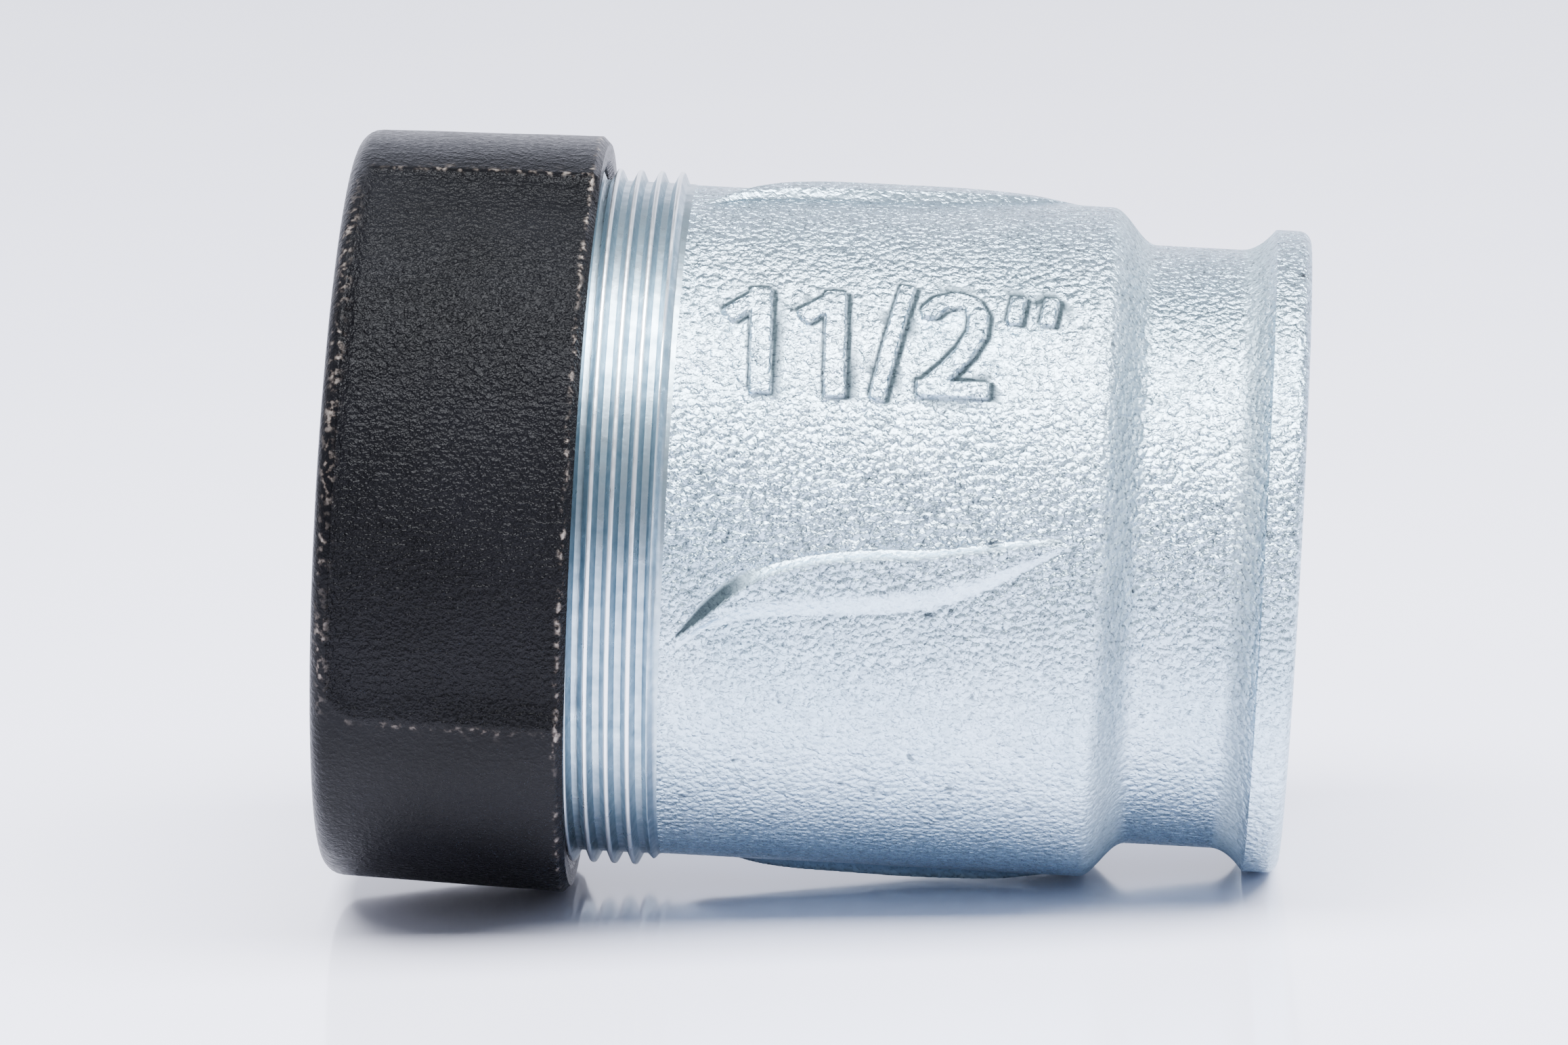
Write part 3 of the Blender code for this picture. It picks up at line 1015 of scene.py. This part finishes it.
# %% Inside of the nut
NUT_HOLE_R = 25.5 * MM
NUT_ROOT_R = 38.9 * MM
NUT_CREST_R = 37.6 * MM


def nut_inside(angle):
    """The end face, the hole, the cone for the clamping ring, and the thread out to the open end."""
    ridges = thread(
        angle, 11.4 * MM, 26.9 * MM, NUT_CREST_R, NUT_ROOT_R, RIDGE + PITCH / 2, 1.1 * MM
    )
    return [
        (0, NUT_FACE_R - NUT_SHOULDER),
        (0, NUT_HOLE_R + 0.6 * MM),
        (0.6 * MM, NUT_HOLE_R),
        (2.0 * MM, NUT_HOLE_R),
        (2.0 * MM, 27.3 * MM),
        (8.0 * MM, 32.0 * MM),
        (8.0 * MM, NUT_ROOT_R),
        *ridges,
        (NUT_LENGTH, NUT_ROOT_R + 0.5 * MM),
        (NUT_LENGTH, nut_surface(NUT_LENGTH, angle)[0]),
    ]


nut.sheet(nut_inside)
union_nut = nut.build("black_nut", (BLACK_IRON,))
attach(union_nut, "nut")
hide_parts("union_nut")

# %% [markdown]
# ## Rings and seal
# The clamping ring is cut from a turned steel ring with saw teeth in its bore, and is split so that
# the cones can close it. It is skinned from one side of its gap to the other and capped there. The
# pressure ring and the seal are plain rings, with their corners rounded.


# %% Clamping ring
CLAMP_GAP = 7.0 * MM
CLAMP_BORE_R = 24.6 * MM
TOOTH_DEPTH = 0.7 * MM
RING_STEPS = 150


def clamping_section():
    """The closed section of the ring: its two tapers outside, and the teeth inside."""
    points = [(2.4, 25.9), (2.7, 26.7), (3.0, 26.95), (8.4, 31.45), (8.8, 31.7), (13.5, 31.7)]
    points += [(13.9, 31.3), (13.9, 25.7)]
    for tooth in range(9):
        tip = 13.4 - tooth * 1.15
        points += [(tip, 25.3), (tip - 0.15, 24.68), (tip - 0.3, 24.62)]
    points += [(2.8, 25.2)]
    return [(station * MM, radius * MM) for station, radius in points]


def split_ring(name, section, gap, finish):
    """A ring with a gap at its top, capped on both sides of it."""
    half = math.asin(gap / 2 / section[0][1])
    ring = Shell()
    columns = []
    for step in range(RING_STEPS + 1):
        angle = math.pi / 2 + half + (TURN - 2 * half) * step / RING_STEPS
        columns.append([ring.point(on_axis(*pair, angle)) for pair in section])
    for left, right in zip(columns, columns[1:]):
        for row in range(len(section)):
            after = (row + 1) % len(section)
            ring.face((left[row], left[after], right[after], right[row]), 0)
    ring.face(columns[0], 0)
    ring.face(reversed(columns[-1]), 0)
    return ring.build(name, (finish,), sharp=25)


clamp = split_ring("toothed_ring", clamping_section(), CLAMP_GAP, YELLOW_STEEL)
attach(clamp, "ring_stack")
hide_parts("clamping_ring")


# %% Pressure ring and seal
def closed_ring(name, section, finish, body_name, replaced):
    """A plain ring round the axis from its closed section in millimetres."""
    points = [(station * MM, radius * MM) for station, radius in section]
    ring = Shell()
    ring.sheet(lambda _angle: [*points, points[0]])
    made = ring.build(name, (finish,), sharp=30)
    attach(made, body_name)
    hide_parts(replaced)
    return made


def rounded(section, radius, steps=4):
    """Rounds every corner of a closed section, which is given in millimetres."""
    points = []
    for number, corner in enumerate(section):
        corner = Vector(corner)
        before = (Vector(section[number - 1]) - corner).normalized() * radius
        after = (Vector(section[(number + 1) % len(section)]) - corner).normalized() * radius
        for step in range(steps + 1):
            share = step / steps
            points.append(tuple(corner + before * (1 - share) ** 2 + after * share**2))
    return points


WASHER = [(14.25, 24.9), (14.25, 32.0), (17.25, 32.0), (17.25, 24.9)]
SEAL = [(22.2, 24.5), (22.2, 32.2), (29.3, 32.2), (33.1, 28.2), (33.1, 24.5)]
closed_ring(
    "washer_ring", rounded(WASHER, 0.4), WASHER_STEEL, "ring_stack", "pressure_ring"
)
closed_ring("rubber_seal", rounded(SEAL, 0.8), RUBBER, "fitting", "sealing_ring")

# %% [markdown]
# ## Floor and light
# The coupling lies on its side. The nut is wider than the beaded end, so the axis is not level: the
# floor is a plane that touches both, found from their radii. A large soft lamp above, a little
# towards the camera, gives the long highlight on the barrel. The world is bright low down behind
# the coupling, for the sheen of the floor, and darker elsewhere, for contrast in the cast grain.

# %% Floor
NUT_TOUCH = (26.8 * MM, NUT_OPEN_R)
BEAD_TOUCH = (LENGTH - BEAD_ROUND, BEAD_R)
FLOOR_RADIUS = 4


def floor_normal():
    """The direction square to the plane that touches the nut and the bead from below."""
    run = BEAD_TOUCH[0] - NUT_TOUCH[0]
    rise = NUT_TOUCH[1] - BEAD_TOUCH[1]
    return Vector((-rise, 0, run)).normalized()


def floor_material():
    made, tree, shader = new_material("pale_floor", Roughness=0.10)
    place = in_mm(tree)
    veil = noise_field(tree, place, 60.0, detail=2.0)
    colour = ramp(tree, veil, (0.3, (0.84, 0.835, 0.96)), (0.7, (0.87, 0.865, 0.98)))
    tree.links.new(colour, shader.inputs["Base Color"])
    return made


def add_floor():
    normal = floor_normal()
    touch = on_axis(NUT_TOUCH[0], NUT_TOUCH[1], -math.pi / 2)
    bpy.ops.mesh.primitive_circle_add(
        vertices=96, radius=FLOOR_RADIUS, fill_type="NGON", location=touch
    )
    floor = bpy.context.object
    floor.name = "floor"
    floor.rotation_mode = "QUATERNION"
    floor.rotation_quaternion = normal.to_track_quat("Z", "Y")
    floor.data.materials.append(floor_material())
    floor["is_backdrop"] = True
    print("floor normal", [round(value, 4) for value in normal])


add_floor()


# %% Light
def add_lamp(name, place, size, power, colour=(1, 1, 1)):
    """A rectangular lamp that looks at the middle of the coupling."""
    light = bpy.data.lights.new(name, "AREA")
    light.shape = "RECTANGLE"
    light.size, light.size_y = size
    light.energy = power
    light.color = colour
    lamp = bpy.data.objects.new(name, light)
    lamp.location = place
    lamp.rotation_mode = "QUATERNION"
    lamp.rotation_quaternion = Vector(place).to_track_quat("Z", "Y")
    bpy.context.collection.objects.link(lamp)


def add_world(front, back, above):
    """A world that is darker in front of the coupling and above than low down behind it."""
    world = bpy.data.worlds.new("studio")
    world.use_nodes = True
    tree = world.node_tree
    direction = node(tree, "ShaderNodeTexCoord").outputs["Generated"]
    split = node(tree, "ShaderNodeSeparateXYZ", {"Vector": direction}).outputs
    high = node(
        tree, "ShaderNodeMapRange", {"Value": split["Z"], "From Min": 0.3, "From Max": 0.6}
    ).outputs["Result"]
    behind = node(
        tree, "ShaderNodeMapRange", {"Value": split["Y"], "From Min": -0.3, "From Max": 0.45}
    ).outputs["Result"]
    shade = mixed(tree, behind, front, mixed(tree, high, back, above))
    tree.links.new(shade, tree.nodes["Background"].inputs["Color"])
    bpy.context.scene.world = world


add_world((0.44, 0.47, 0.53), (2.5, 2.55, 3.0), (0.5, 0.55, 0.62))
add_lamp("softbox", (0.0, -0.26, 0.95), (1.5, 0.66), 76, (0.94, 0.96, 1.0))

# %% Sizes and finish
visual_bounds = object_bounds()
for name, box in (("model", cad_bounds), ("visual", visual_bounds)):
    print(name, [round((high - low) / MM, 2) for low, high in zip(*box)])
